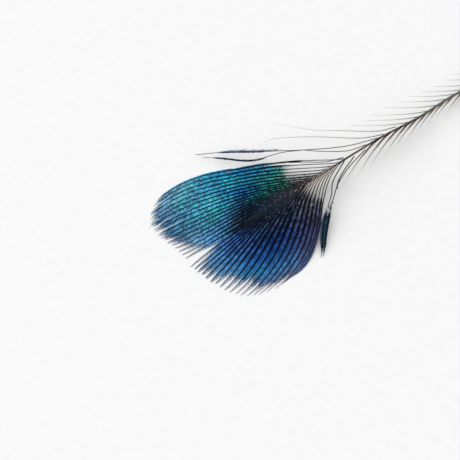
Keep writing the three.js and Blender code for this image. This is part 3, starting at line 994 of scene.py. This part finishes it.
PALE_DOWN = (84, 80, 72), (146, 144, 139), (192, 193, 190), (230, 231, 230)
DARK_DOWN = (40, 32, 28), (70, 60, 54), (160, 155, 150), (236, 236, 235)
down_horn = new_material("down_horn", paint_down, *PALE_DOWN)
dark_down_horn = new_material("dark_down_horn", paint_down, *DARK_DOWN)
LONG_HAIRS = [
    [
        (10.3, -0.1, 2.4), (7.7, 1.3, 2.3), (3.7, 5.3, 1.9),
        (0.4, 8.1, 1.5), (-0.7, 8.6, 1.3), (-2.3, 8.8, 1),
    ],
    [
        (12.2, -0.1, 2.4), (9.9, 0.9, 2.35), (6.7, 3.8, 2.2),
        (4.8, 5.6, 2), (2.9, 8.2, 1.8), (1.4, 10.8, 1.5),
    ],
]
HAIR_SIZES = [(0.06, 0.018, 0.0)] * 2
new_piece("long_hairs", loose_stalks(LONG_HAIRS, HAIR_SIZES), down_horn)

# %% [markdown]
# ## Downy barbs along the shaft
#
# Below the fan the barbs are bare, fine and well apart, about 1.6 mm from one to the next. They
# leave the shaft nearly along it, thick and dark, then bend out and thin away. Each is a quadratic
# Bézier curve from a root on the shaft over a bend to a tip, and the nearest to the fan are the
# longest. Those on the left show their pale keels close to the shaft.

# %% Downy barbs
DOWN_ROWS = [
    {
        "side": 1, "places": (14.35, 28.8, 10), "headings": (20, 40), "lengths": (8.2, 5.2, 1),
        "radii": [(0, 0.075), (0.15, 0.06), (1, 0.035)],
    },
    {
        "side": -1, "places": (9.6, 28.8, 13), "headings": (5, 26), "lengths": (11, 5.8, 3),
        "radii": [(0, 0.15), (0.28, 0.13), (0.6, 0.075), (1, 0.018)],
    },
]
DOWN_BEND_SHARE = 0.33
DOWN_LIFT = 0.1
DOWN_STATIONS = 30
PLACE_SCATTER, LEAN_SCATTER, DOWN_LENGTHS = 0.05, 0.8, (0.92, 1.0)
KEEL_FIRST, KEEL_LAST = 4, DOWN_STATIONS // 2  # stations of a downy barb, with its keel between them
DOWNY_KEEL_SIZE = 1.5  # times a keel of the fan


def downy_paths(row, s):
    """(1-s)²·root + 2s(1-s)·bend + s²·tip for every barb of the row. The lengths run from the
    longest to the shortest by a power of the place along the row."""
    first, last, count = row["places"]
    longest, shortest, power = row["lengths"]
    share = np.linspace(0, 1, count)
    x = first + (last - first) * share + rng.normal(0, PLACE_SCATTER, count)
    length = shortest + (longest - shortest) * (1 - share) ** power
    length = length * rng.uniform(*DOWN_LENGTHS, count)
    lean = rng.normal(0, LEAN_SCATTER, count)

    def stretch(reach, heading, lift):
        turn = np.radians(heading + lean)
        ahead, aside = -reach * np.cos(turn), row["side"] * reach * np.sin(turn)
        return np.stack([ahead, aside, np.full(count, lift)], -1)

    root = shaft_centre(x)
    bend = root + stretch(length * DOWN_BEND_SHARE, row["headings"][0], 0)
    tip = bend + stretch(length * (1 - DOWN_BEND_SHARE), row["headings"][1], DOWN_LIFT)
    t = s[:, None]
    return share, root[:, None] * (1 - t) ** 2 + 2 * bend[:, None] * t * (1 - t) + tip[:, None] * t**2


down_share = np.linspace(0, 1, DOWN_STATIONS)
names = ("right_downy_barbs", "left_downy_barbs")
for name, row, horn in zip(names, DOWN_ROWS, (down_horn, dark_down_horn)):
    places, paths = downy_paths(row, down_share)
    radii = along(row["radii"], down_share)
    new_piece(name, spikes(paths, radii, along=down_share, inward=places[:, None]), horn)
keel_shares = np.linspace(0, 1, KEEL_LAST - KEEL_FIRST)
downy_keels = keels(paths[:, KEEL_FIRST:KEEL_LAST], keel_shares, places, DOWNY_KEEL_SIZE, hand=1)
downy_keel_horn = new_material("downy_keel_horn", paint_keel, (196, 178, 168), (228, 214, 206))
new_piece("left_downy_keels", downy_keels, downy_keel_horn)

# %% [markdown]
# ## Table, light and camera
#
# The feather lies on a plain sheet of pale paper. An even white light comes from all round, and one
# large soft light from the upper left adds a little to it, so the shadows are faint and soft. The
# camera looks down at 50 degrees through a long lens.

# %% Table
def paint_paper(wire):
    object_place = wire.node("ShaderNodeTexCoord", output=3)
    fibre = wire.noise(object_place, 900.0, 3.0)
    return {"Base_Color": fibre.ramp((0.3, (238, 238, 238)), (0.7, (241, 241, 241)))}


TABLE_HALF = 1.5
paper = new_material("paper", paint_paper, Roughness=0.95, Specular_IOR_Level=0.1)
table_mesh = bpy.data.meshes.new("table")
corners = np.array([[-1, -1, 0], [1, -1, 0], [1, 1, 0], [-1, 1, 0]]) * TABLE_HALF
table_mesh.from_pydata(corners.tolist(), [], [(0, 1, 2, 3)])
table_mesh.materials.append(paper)
table = new_object("table", table_mesh)
print("table:", 2 * TABLE_HALF, "m square")

# %% Light
LIGHT_DIRECTION = np.array([-0.571, 0.277, 0.773])
LIGHT_DISTANCE = 0.7
LIGHT_SIZE = 1.1
LIGHT_WATTS = 1.3
SKY_STRENGTH = 0.975


def turned_towards(place, target):
    """The matrix of an object at place whose -Z axis points at target."""
    back = unit(np.array(place) - np.array(target))
    right = unit(np.cross([0, 0, 1], back))
    matrix = np.eye(4)
    matrix[:3, :3] = np.stack([right, np.cross(back, right), back], 1)
    matrix[:3, 3] = place
    return Matrix(matrix.tolist())


light = bpy.data.lights.new("soft_light", "AREA")
light.size = LIGHT_SIZE
light.energy = LIGHT_WATTS
light_place = LIGHT_DIRECTION * LIGHT_DISTANCE
new_object("soft_light", light).matrix_world = turned_towards(light_place, (0, 0, 0))
sky = bpy.data.worlds.new("sky")
sky.use_nodes = True
sky.node_tree.nodes["Background"].inputs["Color"].default_value = (1.0, 1.0, 1.0, 1.0)
sky.node_tree.nodes["Background"].inputs["Strength"].default_value = SKY_STRENGTH
scene.world = sky
scene.view_settings.view_transform = "Standard"
print("light:", LIGHT_WATTS, "W, sky:", SKY_STRENGTH)

# %% Camera
FRAME_PIXELS = 460
SENSOR = 36.0
ELEVATION, AZIMUTH = math.radians(50), math.radians(-39)
DISTANCE = 240.0
PIXEL_SIZE = 0.118  # of the feather's plane, in millimetres
AIM = FAN_ROOT + np.array([0, 0, 1.9])
AIM_PIXEL = (318, 177)

right = np.array([math.cos(AZIMUTH), math.sin(AZIMUTH), 0])
level = np.array([math.sin(AZIMUTH), -math.cos(AZIMUTH), 0])
back = level * math.cos(ELEVATION) + np.array([0, 0, math.sin(ELEVATION)])
upward = np.cross(back, right)
aside = (AIM_PIXEL[0] - FRAME_PIXELS / 2) * PIXEL_SIZE
above = (AIM_PIXEL[1] - FRAME_PIXELS / 2) * PIXEL_SIZE
eye = AIM + DISTANCE * back - aside * right + above * upward
camera_data = bpy.data.cameras.new("camera")
camera_data.sensor_width = SENSOR
camera_data.lens = SENSOR * DISTANCE / (PIXEL_SIZE * FRAME_PIXELS)
camera_data.clip_start = 0.01
camera = new_object("camera", camera_data)
camera.matrix_world = turned_towards(eye * MM, (eye - back) * MM)
scene.camera = camera
print("lens:", round(camera_data.lens, 1), "mm, from", np.round(eye, 1))
